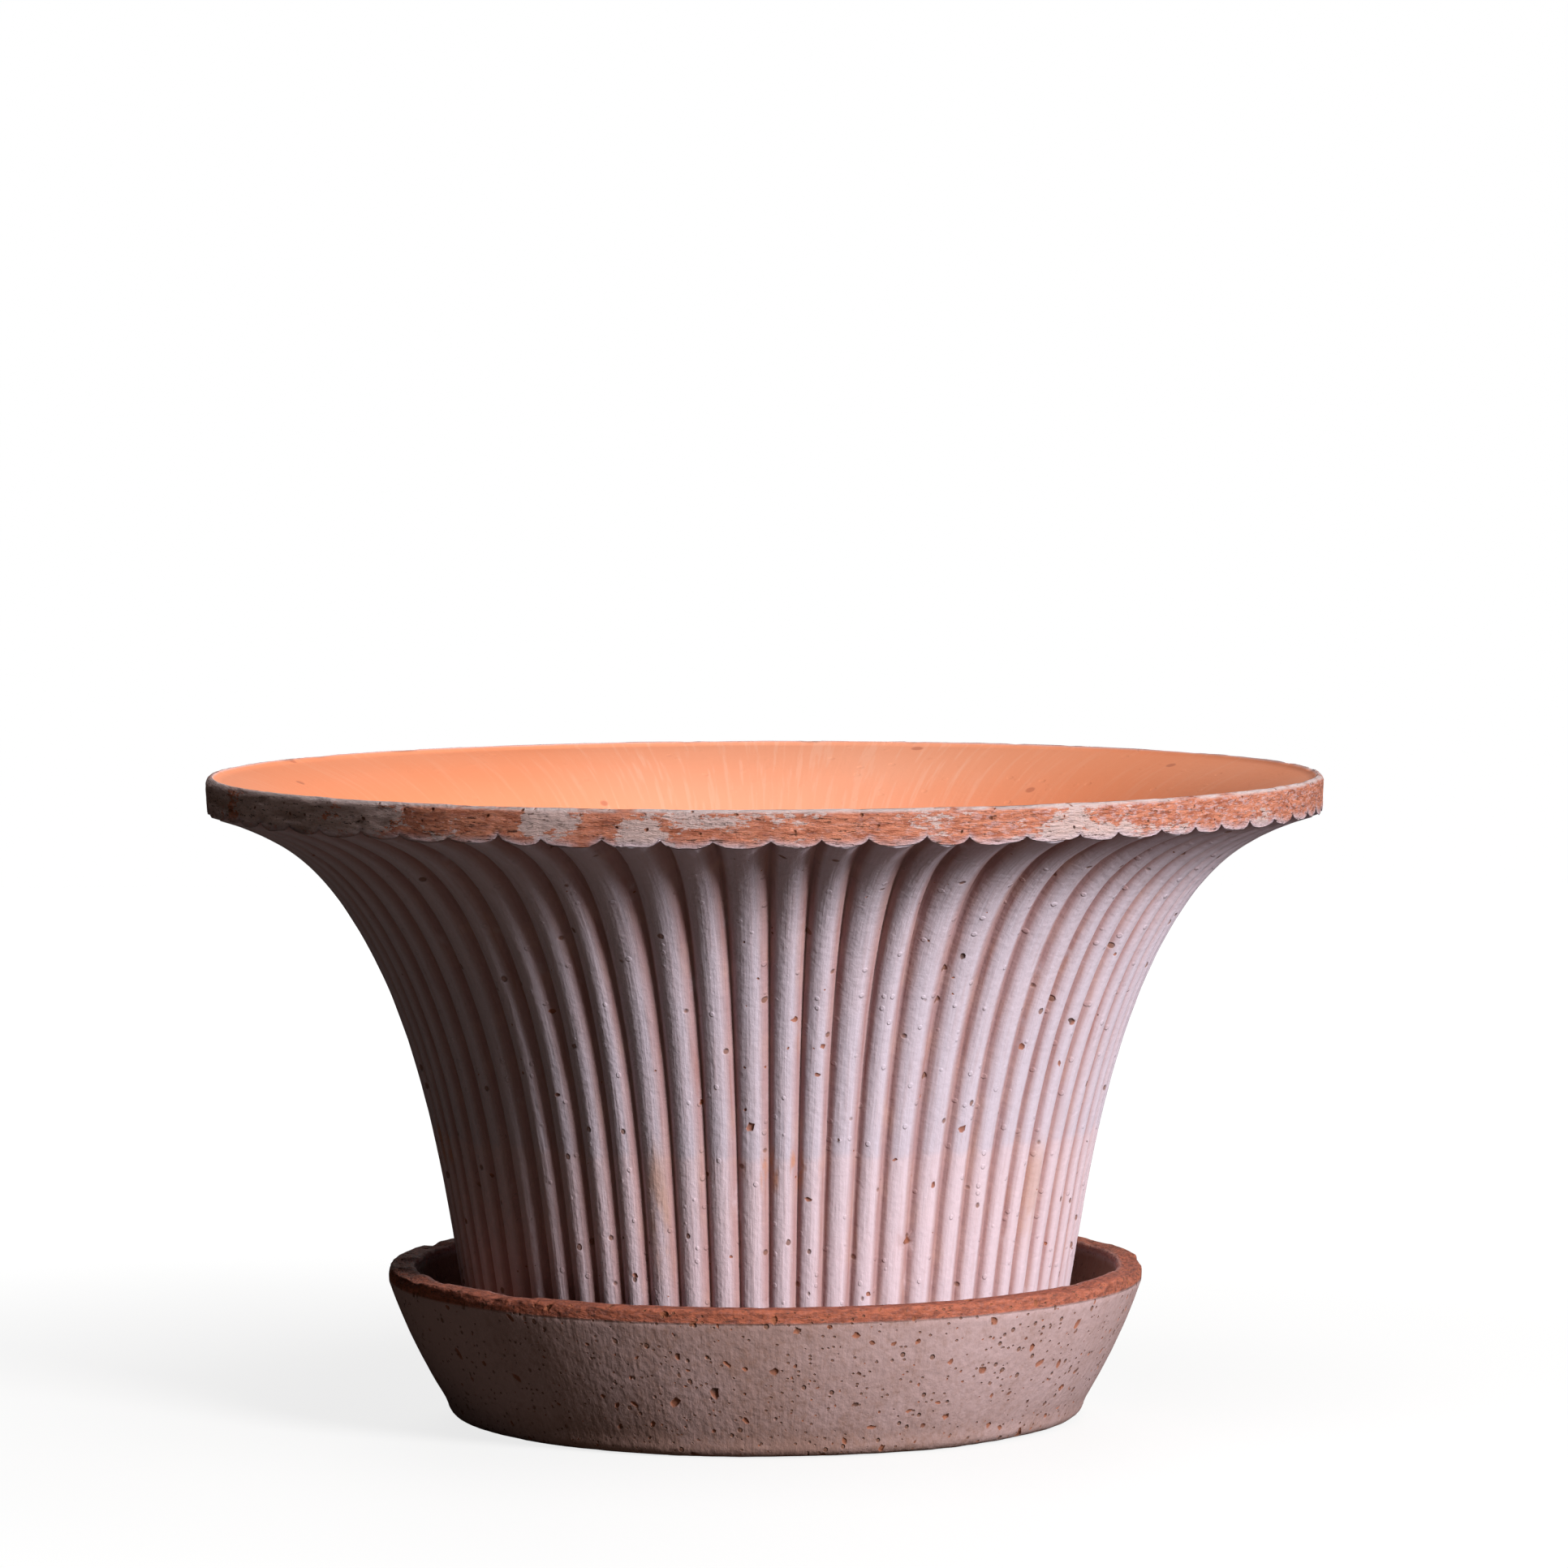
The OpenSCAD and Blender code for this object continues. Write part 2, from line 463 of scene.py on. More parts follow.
def lay_flat(mesh, regions, angle, along, layout):
    """The piece's own UV layout: strips of the wall cut at the sides, and the round ends as discs.

    layout maps a region to ("strips", count, lowest v, height) or ("disc", centre u, centre v, radius).
    """
    uv = mesh.uv_layers.new(name="OFBake")
    reach = {}
    for polygon, region in zip(mesh.polygons, regions):
        low, high = reach.get(region, (1e9, -1e9))
        values = [along[v] for v in polygon.vertices]
        reach[region] = min(low, min(values)), max(high, max(values))
    coordinates = np.zeros((len(mesh.loops), 2), np.float32)
    for polygon, region in zip(mesh.polygons, regions):
        kind, *place = layout[region]
        low, high = reach[region]
        for loop in polygon.loop_indices:
            v = mesh.loops[loop].vertex_index
            if kind == "disc":
                u0, v0, radius = place
                x, y, _ = mesh.vertices[v].co
                coordinates[loop] = u0 + radius * x, v0 + radius * y
            else:
                count, base, height = place
                middle = mesh.vertices[polygon.vertices[0]].co + mesh.vertices[polygon.vertices[2]].co
                slice_angle = FULL_TURN / count
                bearing = (math.atan2(middle.y, middle.x) + math.pi) % FULL_TURN
                strip = int(bearing / slice_angle) % count
                centre = -math.pi + (strip + 0.5) * slice_angle
                turn = (angle[v] - centre + math.pi) % FULL_TURN - math.pi
                share = (along[v] - low) / (high - low)
                coordinates[loop] = (
                    0.5 + (1 - STRIP_GAP) * turn / slice_angle,
                    base + height * (strip + STRIP_GAP + (1 - 2 * STRIP_GAP) * share),
                )
    uv.data.foreach_set("uv", coordinates.ravel())


# ---------------------------------------------------------------- the pot's shape

def flare_r(t):
    """Radius over the crests of the rolls; t runs from 0 at the foot to 1 at the rim band."""
    return FOOT_R + SPREAD * (LEAN_SHARE * t + SWEEP_SHARE * t ** SWEEP_POWER + TURN_SHARE * t ** TURN_POWER)


def flare_z(t):
    return FOOT_Z + t * (BAND_Z - FOOT_Z)


def flare_normal(t):
    """Outward normal (r, z) of the flare."""
    slope = SPREAD * (
        LEAN_SHARE
        + SWEEP_SHARE * SWEEP_POWER * t ** (SWEEP_POWER - 1)
        + TURN_SHARE * TURN_POWER * t ** (TURN_POWER - 1)
    ) / (BAND_Z - FOOT_Z)
    length = math.hypot(1, slope)
    return 1 / length, -slope / length


def inner_point(t):
    """The point (r, z) of the inside that faces t on the flare."""
    n = flare_normal(t)
    return flare_r(t) - WALL * n[0], flare_z(t) - WALL * n[1]


def column_angles():
    """Direction of every column at the foot. Slow waves make the rolls uneven, as hand-cut ones are."""
    u = np.array([(rib + place) * 360 / RIBS for rib in range(RIBS) for place in PLACES])
    waves = sum(size * np.sin(np.radians(times * u + start)) for size, times, start in WAVES)
    return np.radians(-90 + u + (waves + WAVES_START))


def column_strays():
    """How far each column strays sideways by the time it reaches the rim."""
    rng = random.Random(SEED + 2)
    stray = np.array([rng.uniform(-1, 1) for _ in range(RIBS)])
    place = np.arange(RIBS * len(PLACES)) // len(PLACES) + np.tile(PLACES, RIBS)
    return STRAY * np.interp(place, range(RIBS + 1), np.append(stray, stray[0]))


def groove_shape():
    """How far each column lies in a groove: 1 at the bottom, 0 on the crest of a roll."""
    place = np.tile(np.array(PLACES), RIBS)
    off_groove = np.minimum(place, 1 - place)
    return 0.84 * (1 - 2 * off_groove) ** 2 + 0.16 * np.exp(-((off_groove / 0.06) ** 2))


def thin_wash_and_groove_shade(angles):
    """How thin the wash lies on each column: it misses one flank of each roll, and on one side both. Where it
    is thin, the bared clay also stands for painted shade in the grooves.
    """
    place = np.tile(np.array(PLACES), RIBS)
    tail = 0.1 + 0.17 * smooth(np.cos(angles - THIN_WASH_AND_SHADE_SIDE), 0.3, 0.9)
    return np.maximum(smooth(place, 0.68, 0.86), 1 - smooth(place, 0.4 * tail, tail))


def wall_levels():
    """Places of the wall's rings from foot to rim, closer together towards the rim."""
    shares = [1 - (1 - i / WALL_RINGS) ** WALL_CROWDING for i in range(WALL_RINGS)]
    return [WALL_START + (1 - WALL_START) * share for share in shares]


def pot_base_rings():
    """The underside, from the drain hole to the rounded foot."""
    return [ring(r, FOOT_Z, "base", coarse=True) for r in (DRAIN_R + 0.8 * MM, 22 * MM, 36 * MM, 50 * MM)]


def pot_wall_rings(groove, angles):
    """The foot's rounded corner and the fluted wall up to the rim band."""
    # thin marks the thin wash, whose bared clay also serves as painted groove shade
    thin = thin_wash_and_groove_shade(angles)
    rings = []
    for r, z in arc(FOOT_R - FOOT_ROUND, FOOT_Z + FOOT_ROUND, FOOT_ROUND, -90, 0, 5):
        depth = GROOVE_LOW * groove * (z - FOOT_Z) / FOOT_ROUND
        rings.append(ring(r - depth, z, "outside", groove=groove, thin=thin))
    for t in wall_levels():
        n_r, n_z = flare_normal(t)
        depth = (GROOVE_LOW + (GROOVE_HIGH - GROOVE_LOW) * t ** GROOVE_GROWTH) * groove
        rings.append(ring(
            flare_r(t) - depth * n_r, flare_z(t) - depth * n_z, "outside",
            lean=0.25 + 0.75 * t ** 2, groove=groove, thin=thin,
        ))
    return rings


def pot_band_rings(groove, angles):
    """The torn upright band, whose lower edge rises at every groove, and the rounded lip."""
    places = drum(angles, 0.0)
    ragged = 0.45 * MM * rough(places, 110, 2) + 0.3 * MM * rough(places, 330, 3)
    notch = NOTCH * (1 + 0.5 * rough(places, 60, 1))
    edge = BAND_Z + notch * groove ** NOTCH_SHARPNESS + ragged
    top = LIP_Z - LIP_ROUND
    rings = []
    for share in (0.0, 0.04, 0.1, 0.18, 0.28, 0.4, 0.52, 0.64, 0.76, 0.88):
        inset = 0.35 * MM * (1 - math.sqrt(share))
        rings.append(ring(
            RIM_R - inset, edge + (top - edge) * share, "outside", lean=1 - share, level=True,
            torn=1.0 if share else 0.4, hem=max(0.0, 1 - 4 * share),
        ))
    steps = 4
    for i, (r, z) in enumerate(arc(RIM_R - LIP_ROUND, top, LIP_ROUND, 0, 90, steps)):
        rings.append(ring(r, z, "outside", torn=1.0, lip=i / steps))
    return rings


def pot_inside_rings():
    """From the lip down the smooth inside, across the floor and down the drain hole."""
    last_r, last_z = inner_point(1.0)
    cavity_z = FOOT_Z + POT_FLOOR
    rings = [
        ring(last_r + 0.6 * MM, LIP_Z - 0.08 * MM, "outside", lip=0.5, bare=0.7),
        ring(last_r, last_z, "outside", bare=1.0),
    ]
    for i in range(1, INSIDE_RINGS):
        r, z = inner_point(1 - (1 - CAVITY_START) * (i / INSIDE_RINGS) ** INSIDE_CROWDING)
        rings.append(ring(r, z, "inside", coarse=True, bare=1.0))
    first_r, _ = inner_point(CAVITY_START)
    for r, z in arc(first_r - CAVITY_ROUND, cavity_z + CAVITY_ROUND, CAVITY_ROUND, 0, -90, 6):
        rings.append(ring(r, z, "inside", coarse=True, bare=1.0))
    for r in (42 * MM, 30 * MM, 20 * MM, DRAIN_R + 1.2 * MM):
        rings.append(ring(r, cavity_z, "floor", coarse=True, bare=1.0))
    for r, z in (
        (DRAIN_R + 0.3 * MM, cavity_z - 0.3 * MM),
        (DRAIN_R, cavity_z - 1.2 * MM),
        (DRAIN_R, (cavity_z + FOOT_Z) / 2),
        (DRAIN_R, FOOT_Z + 0.8 * MM),
    ):
        rings.append(ring(r, z, "hole", coarse=True, bare=1.0))
    return rings


def weather_pot(grid):
    """Hand-made unevenness of the wall, and the torn clay of the band. Scales are in waves per metre."""
    places = grid.drum_points()
    fine = np.array([not c for c in grid.coarse])[:, None]
    torn = grid.marks["torn"]
    lip = grid.marks["lip"]
    sway = 0.22 * MM * rough(places, 18, 2)
    lumps = 0.07 * MM * rough(places, 150, 3)
    layers = rough(places * (1, 1, 5), 130, 4)
    tears = 0.16 * MM * layers - 0.45 * MM * smooth(layers, 0.25, 0.6)
    nicks = -0.25 * MM * smooth(rough(places, 90, 3), 0.15, 0.6)
    push = sway * (1 - torn) * (1 - lip) + lumps + torn * tears + lip * nicks
    grid.push(np.where(fine, push, 0.0))


def build_pot():
    groove = groove_shape()
    angles = column_angles()
    outer = pot_wall_rings(groove, angles) + pot_band_rings(groove, angles)
    rings = pot_base_rings() + outer + pot_inside_rings()
    grid = Grid(rings, angles, column_strays(), measured_column=4)
    weather_pot(grid)
    skin = Skin(grid, COARSEN, wraps=True)
    rng = random.Random(SEED)
    wall_length = grid.along[grid.regions.index("inside")]
    for angle_deg, along_mm, size_mm in BIG_PITS:
        size = size_mm * MM
        bearing = math.radians(angle_deg - 90)
        skin.pit(bearing, along_mm * MM, size, BIG_PIT_DEPTH * size, BIG_PIT_STRETCH, rng)
    for _ in range(WALL_PITS):
        size = (0.2 + 0.55 * rng.random() ** 3) * MM
        along = rng.uniform(0.02, 0.93) * wall_length
        skin.pit(rng.uniform(0, FULL_TURN), along, size, WALL_PIT_DEPTH * size, rng.uniform(1, 1.6), rng)
    for _ in range(BAND_PITS):
        size = rng.uniform(0.2, 0.45) * MM
        along = wall_length - rng.uniform(3, 9) * MM
        skin.pit(rng.uniform(0, FULL_TURN), along, size, BAND_PIT_DEPTH * size, rng.uniform(1, 1.8), rng)
    skin.cover()
    return skin.build("terracotta_pot", pot_clay(wall_length - BAND_MIDDLE), {
        "base": ("disc", 0.065, 0.94, 0.055 / FOOT_R),
        "floor": ("disc", 0.2, 0.94, 0.055 / FOOT_R),
        "hole": ("strips", 1, 0.965, 0.03),
        "inside": ("strips", 1, 0.73, 0.14),
        "outside": ("strips", 2, 0.0, 0.36),
    })


# ---------------------------------------------------------------- the saucer's shape

def saucer_out_r(z):
    """Radius of the saucer's outside below its rim band, a slightly bellied cone."""
    s = z / SAUCER_BAND_Z
    return SAUCER_BASE_R + (SAUCER_R - SAUCER_BASE_R) * s * (1 + SAUCER_BELLY * (1 - s))


def saucer_rings():
    """Underside, bellied wall, worn rim band, lip, inside and floor."""
    rings = [ring(r, 0.0, "base", coarse=True) for r in (3 * MM, 20 * MM, 40 * MM, 56 * MM)]
    corner_r = saucer_out_r(SAUCER_CORNER) - SAUCER_CORNER
    for r, z in arc(corner_r, SAUCER_CORNER, SAUCER_CORNER, -90, -10, 6):
        rings.append(ring(r, z, "outside"))
    for i in range(1, SAUCER_WALL_RINGS):
        z = SAUCER_CORNER + (SAUCER_BAND_Z - SAUCER_CORNER) * i / SAUCER_WALL_RINGS
        rings.append(ring(saucer_out_r(z), z, "outside"))
    low, top = SAUCER_BAND_Z, SAUCER_H - SAUCER_LIP_ROUND
    for share in (0.0, 0.2, 0.4, 0.6, 0.8):
        torn = 0.2 + 0.8 * min(1, 2 * share)
        hem = max(0.0, 0.45 - 4 * share)
        rings.append(ring(SAUCER_R, low + (top - low) * share, "outside", torn=torn, hem=hem))
    for r, z in arc(SAUCER_R - SAUCER_LIP_ROUND, top, SAUCER_LIP_ROUND, 0, 90, 4):
        rings.append(ring(r, z, "outside", torn=1.0, lip=1.0))
    inner_r = SAUCER_R - SAUCER_WALL
    rings.append(ring((SAUCER_R + inner_r) / 2, SAUCER_H, "outside", torn=1.0, lip=1.0, bare=0.2))
    for r, z in arc(inner_r + SAUCER_LIP_ROUND, top, SAUCER_LIP_ROUND, 90, 180, 4):
        rings.append(ring(r, z, "outside", torn=0.6, lip=0.7, bare=0.5))
    inner_z = SAUCER_FLOOR + SAUCER_CORNER
    for i in range(SAUCER_INSIDE_RINGS):
        z = SAUCER_BAND_Z + (inner_z - SAUCER_BAND_Z) * i / (SAUCER_INSIDE_RINGS - 1)
        rings.append(ring(saucer_out_r(z) - SAUCER_WALL, z, "inside", coarse=True, bare=1.0))
    floor_r = saucer_out_r(SAUCER_FLOOR) - SAUCER_WALL - SAUCER_CORNER
    for r, z in arc(floor_r, inner_z, SAUCER_CORNER, -25, -90, 5):
        rings.append(ring(r, z, "inside", coarse=True, bare=1.0))
    for r in (50 * MM, 32 * MM, 14 * MM, 3 * MM):
        rings.append(ring(r, SAUCER_FLOOR, "floor", coarse=True, bare=1.0))
    return rings


def weather_saucer(grid):
    """Hand-made unevenness of the saucer, its torn rim band and the nicks in its lip."""
    places = grid.drum_points()
    fine = np.array([not c for c in grid.coarse])[:, None]
    torn = grid.marks["torn"]
    lip = grid.marks["lip"]
    sway = 0.3 * MM * rough(places, 15, 2)
    lumps = 0.07 * MM * rough(places, 170, 3)
    tears = 0.14 * MM * rough(places * (1, 1, 4), 160, 4)
    nicks = -0.7 * MM * smooth(rough(places, 60, 3), 0.1, 0.6)
    grid.push(np.where(fine, sway * (1 - lip) + lumps + torn * tears + lip * nicks, 0.0))


def build_saucer():
    angles = np.linspace(0, FULL_TURN, SAUCER_COLUMNS, endpoint=False)
    grid = Grid(saucer_rings(), angles, np.zeros(SAUCER_COLUMNS), measured_column=0)
    weather_saucer(grid)
    skin = Skin(grid, COARSEN, wraps=False)
    rng = random.Random(SEED + 1)
    for _ in range(SAUCER_PITS):
        size = (0.22 + 0.9 * rng.random() ** 3.4) * MM
        angle = rng.uniform(0, FULL_TURN)
        along = rng.uniform(1, 42) * MM
        skin.pit(angle, along, size, SAUCER_PIT_DEPTH * size, rng.uniform(1, 1.8), rng)
    skin.cover()
    return skin.build("terracotta_saucer", saucer_clay(), {
        "base": ("disc", 0.25, 0.72, 0.24 / SAUCER_BASE_R),
        "floor": ("disc", 0.75, 0.72, 0.24 / SAUCER_BASE_R),
        "inside": ("strips", 1, 0.36, 0.11),
        "outside": ("strips", 2, 0.0, 0.17),
    })


# ---------------------------------------------------------------- materials

LIME = (0.65, 0.565, 0.665, 1)
LIME_PINK = (0.74, 0.585, 0.655, 1)
LIME_WHITE = (0.78, 0.62, 0.615, 1)
# the clay bared by thin wash, darkened to serve also as painted shade in the grooves
GROOVE_CLAY_AND_SHADE = (0.36, 0.17, 0.155, 1)
CLAY_DEEP = (0.24, 0.105, 0.065, 1)
TORN = (0.80, 0.3, 0.185, 1)
TORN_DEEP = (0.50, 0.15, 0.085, 1)
CRACK = (0.10, 0.045, 0.03, 1)
INSIDE = (0.90, 0.31, 0.155, 1)
INSIDE_PALE = (0.92, 0.42, 0.27, 1)
TAN = (0.58, 0.33, 0.24, 1)
STAIN = (0.56, 0.26, 0.17, 1)
PIT = (0.33, 0.115, 0.06, 1)
SAUCER_WASH = (0.56, 0.395, 0.405, 1)
SAUCER_CLAY = (0.36, 0.215, 0.185, 1)
SAUCER_TORN = (0.46, 0.13, 0.07, 1)
SAUCER_TORN_DEEP = (0.22, 0.06, 0.035, 1)
SAUCER_INSIDE = (0.25, 0.12, 0.08, 1)
SAUCER_INSIDE_PALE = (0.32, 0.18, 0.14, 1)


class Paint:
    """A node material built one value at a time. Its methods return output sockets."""

    def __init__(self, name):
        self.material = bpy.data.materials.new(name)
        self.material.use_nodes = True
        self.tree = self.material.node_tree
        self.tree.nodes.clear()

    def node(self, kind, settings, **inputs):
        made = self.tree.nodes.new(kind)
        for name, value in settings.items():
            setattr(made, name, value)
        for name, value in inputs.items():
            self.feed(made.inputs[name.replace("_", " ")], value)
        return made

    def feed(self, socket, value):
        if isinstance(value, bpy.types.NodeSocket):
            self.tree.links.new(value, socket)
        else:
            socket.default_value = value

    def mark(self, name):
        """One of the marks that ride on the skin's points."""
        return self.node("ShaderNodeAttribute", {"attribute_name": name}).outputs["Fac"]

    def drum(self, stretch=(1, 1, 1)):
        place = self.node("ShaderNodeAttribute", {"attribute_name": "drum"}).outputs["Vector"]
        return self.node("ShaderNodeMapping", {}, Vector=place, Scale=stretch).outputs["Vector"]

    def noise(self, scale, detail=3.0, stretch=(1, 1, 1), roughness=0.55):
        """Noise from 0 to 1 on the drum. The scale is in waves per metre."""
        made = self.node("ShaderNodeTexNoise", {}, Vector=self.drum(stretch), Scale=scale)
        self.feed(made.inputs["Detail"], detail)
        self.feed(made.inputs["Roughness"], roughness)
        return made.outputs["Fac"]

    def grains(self, scale, share, size, stretch=(1, 1, 1)):
        """1 inside scattered round grains: share says how many cells hold one, size how much it fills."""
        cells = self.node("ShaderNodeTexVoronoi", {}, Vector=self.drum(stretch), Scale=scale)
        chance = self.node("ShaderNodeSeparateColor", {}, Color=cells.outputs["Color"]).outputs["Red"]
        chosen = self.math("LESS_THAN", chance, share)
        return self.math("MULTIPLY", chosen, self.step(cells.outputs["Distance"], size, size * 0.6))

    def patch(self, angle_deg, along, half_angle_deg, half_along):
        """1 in the middle of a soft-edged patch on the drum, 0 outside it."""
        a = math.radians(angle_deg - 90)
        centre = (DRUM_R * math.cos(a), DRUM_R * math.sin(a), along)
        away = self.node("ShaderNodeVectorMath", {"operation": "SUBTRACT"})
        self.feed(away.inputs[0], self.drum())
        self.feed(away.inputs[1], centre)
        across = 1 / (DRUM_R * math.radians(half_angle_deg))
        scaled = self.node("ShaderNodeVectorMath", {"operation": "MULTIPLY"})
        self.feed(scaled.inputs[0], away.outputs[0])
        self.feed(scaled.inputs[1], (across, across, 1 / half_along))
        length = self.node("ShaderNodeVectorMath", {"operation": "LENGTH"})
        self.feed(length.inputs[0], scaled.outputs[0])
        return self.step(length.outputs["Value"], 1.0, 0.35)

    def step(self, value, low, high):
        """0 at low, 1 at high and a smooth rise between; low may be the larger."""
        flip = low > high
        made = self.node(
            "ShaderNodeMapRange",
            {"interpolation_type": "SMOOTHSTEP"},
            Value=value,
            From_Min=min(low, high),
            From_Max=max(low, high),
            To_Min=1.0 if flip else 0.0,
            To_Max=0.0 if flip else 1.0,
        )
        return made.outputs["Result"]

    def math(self, operation, a, b=0.0, limit=False):
        made = self.node("ShaderNodeMath", {"operation": operation, "use_clamp": limit})
        self.feed(made.inputs[0], a)
        self.feed(made.inputs[1], b)
        return made.outputs[0]

    def times(self, a, b):
        return self.math("MULTIPLY", a, b)

    def plus(self, a, b):
        return self.math("ADD", a, b)

    def mix(self, a, b, factor):
        made = self.node("ShaderNodeMix", {"data_type": "RGBA"})
        self.feed(made.inputs["Factor"], factor)
        self.feed(made.inputs[6], a)
        self.feed(made.inputs[7], b)
        return made.outputs[2]

    def finish(self, colour, roughness, height_mm):
        """Joins colour, roughness and relief in millimetres into the surface."""
        bump = self.node("ShaderNodeBump", {}, Height=height_mm, Distance=MM, Strength=1.0)
        surface = self.node("ShaderNodeBsdfPrincipled", {}, Base_Color=colour, Roughness=roughness)
        self.feed(surface.inputs["Normal"], bump.outputs["Normal"])
        surface.inputs["Specular IOR Level"].default_value = 0.25
        out = self.node("ShaderNodeOutputMaterial", {})
        self.tree.links.new(surface.outputs[0], out.inputs["Surface"])
        return self.material


def wash_colour(p):
    """The brushed lime wash on the fluted wall, thin in the grooves, where the bared clay is darkened as
    painted groove shade, and pinker below the tide line.
    """
    groove = p.mark("groove")
    brush = p.noise(1100, 3.0, stretch=(1, 1, 0.06))
    cloud = p.noise(45, 3.0)
    clay = p.mix(GROOVE_CLAY_AND_SHADE, TAN, p.times(p.step(p.noise(120), 0.4, 0.8), 0.4))
    height = p.node("ShaderNodeSeparateXYZ", {}, Vector=p.drum()).outputs["Z"]
    wobble = p.times(p.noise(70, 2.0, stretch=(1, 1, 0)), 5 * MM)
    under = p.step(p.plus(height, wobble), TIDE + 1.2 * MM, TIDE - 1.2 * MM)
    flush = p.times(p.step(cloud, 0.4, 0.7), 0.25)
    lime = p.mix(LIME, LIME_PINK, p.math("ADD", p.times(under, 0.8), flush, True))
    # where the wash is thin the clay shows through: partly real bared clay, partly painted groove shade
    worn = p.times(p.mark("thin"), p.step(p.noise(240, 3.0, stretch=(1, 1, 0.5)), 0.1, 0.4))
    cover = p.math("SUBTRACT", 0.97, p.times(worn, 0.72))
    cover = p.math("SUBTRACT", cover, p.times(p.step(brush, 0.45, 0.75), 0.16))
    colour = p.mix(clay, lime, cover)
    for angle, along, half_angle, half_along, strength in (
        (-18.5, 50 * MM, 2.6, 20 * MM, 0.7),
        (54.0, 50 * MM, 3.4, 16 * MM, 0.5),
        (139.0, 55 * MM, 4.0, 12 * MM, 0.6),
        (-122.0, 57 * MM, 3.0, 9 * MM, 0.6),
    ):
        spot = p.times(p.patch(angle, along, half_angle, half_along), strength)
        colour = p.mix(colour, TAN, p.times(spot, p.step(p.noise(260, 3.0, stretch=(1, 1, 0.4)), 0.3, 0.6)))
    for angle, half_angle in ((2.5, 8.5), (-75.0, 9.0), (118.0, 12.0), (-160.0, 10.0)):
        smear = p.times(p.patch(angle, TIDE - 5 * MM, half_angle, 6.5 * MM), p.step(groove, 0.06, 0.25))
        smear = p.times(smear, p.step(p.noise(420, 3.0, stretch=(1, 1, 0.35)), 0.42, 0.62))
        colour = p.mix(colour, STAIN, p.times(smear, 0.85))
    return colour


def band_chalk(p, level):
    """How much wash is left on the torn band, as a few broad patches. level is the band's middle."""
    chalk = 0.0
    for angle, half_angle, rise, strength in (
        (-78, 24, 0, 0.3),
        (-50, 20, 0, 0.32),
        (-21, 4.5, 0, 0.28),
        (-12, 4, -3, 0.2),
        (-5.5, 6, 4, 0.22),
        (3.5, 6, 4, 0.17),
        (18, 10, 2, 0.05),
        (29, 12, -5.5, 0.16),
        (43, 14, -5.5, 0.16),
        (112, 10, 0, 0.16),
        (160, 14, 1, 0.22),
        (-130, 16, 0, 0.28),
        (-102, 8, 2, 0.18),
    ):
        spot = p.patch(angle, level + rise * MM, half_angle, 7 * MM)
        chalk = p.plus(chalk, p.times(spot, strength))
    return chalk


def torn_colour(p, fresh, deep, chalk, dust):
    """Clay torn by the trimming wire: streaked and cracked. chalk says how much wash is left on it,
    dust how much pale powder."""
    streak = p.noise(330, 5.0, stretch=(1, 1, 2.6), roughness=0.7)
    raw = p.mix(deep, fresh, p.step(streak, 0.35, 0.6))
    powder = p.step(p.noise(700, 4.0, stretch=(1, 1, 2), roughness=0.7), 0.48, 0.62)
    raw = p.mix(raw, LIME_PINK, p.times(powder, dust))
    cracks = p.step(p.noise(420, 4.0, stretch=(1, 1, 4.5), roughness=0.75), 0.595, 0.62)
    scraps = p.plus(p.noise(75, 2.0), p.noise(420, 4.0, stretch=(1, 1, 2), roughness=0.75))
    left = p.step(p.plus(p.times(scraps, 0.8), chalk), 0.93, 0.97)
    colour = p.mix(raw, LIME_WHITE, p.times(left, 0.8))
    hem = p.times(p.mark("hem"), p.step(p.noise(160, 3.0), 0.25, 0.55))
    colour = p.mix(colour, LIME_PINK, hem)
    return p.mix(colour, CRACK, p.times(cracks, 0.9))


def inside_colour(p, main, pale, wiped):
    """The bare inside, with faint pale streaks and a few specks. wiped is 1 where it is paler."""
    streaks = p.step(p.noise(800, 3.0, stretch=(1, 1, 0.06)), 0.5, 0.75)
    cloud = p.step(p.noise(22, 2.0), 0.35, 0.7)
    amount = p.plus(p.times(streaks, p.plus(0.3, p.times(wiped, 0.7))), p.times(cloud, 0.25))
    colour = p.mix(main, pale, p.math("ADD", amount, p.times(wiped, 0.5), True))
    return p.mix(colour, TORN_DEEP, p.times(p.grains(260, 0.03, 0.35), 0.6))


def pit_clay_and_shade(p):
    """The raw orange-brown clay at the bottom of a pit, mixed by noise towards nearly black as painted shade
    in the hollow.
    """
    return p.mix(PIT, CRACK, p.step(p.noise(180, 2.0), 0.5, 0.7))


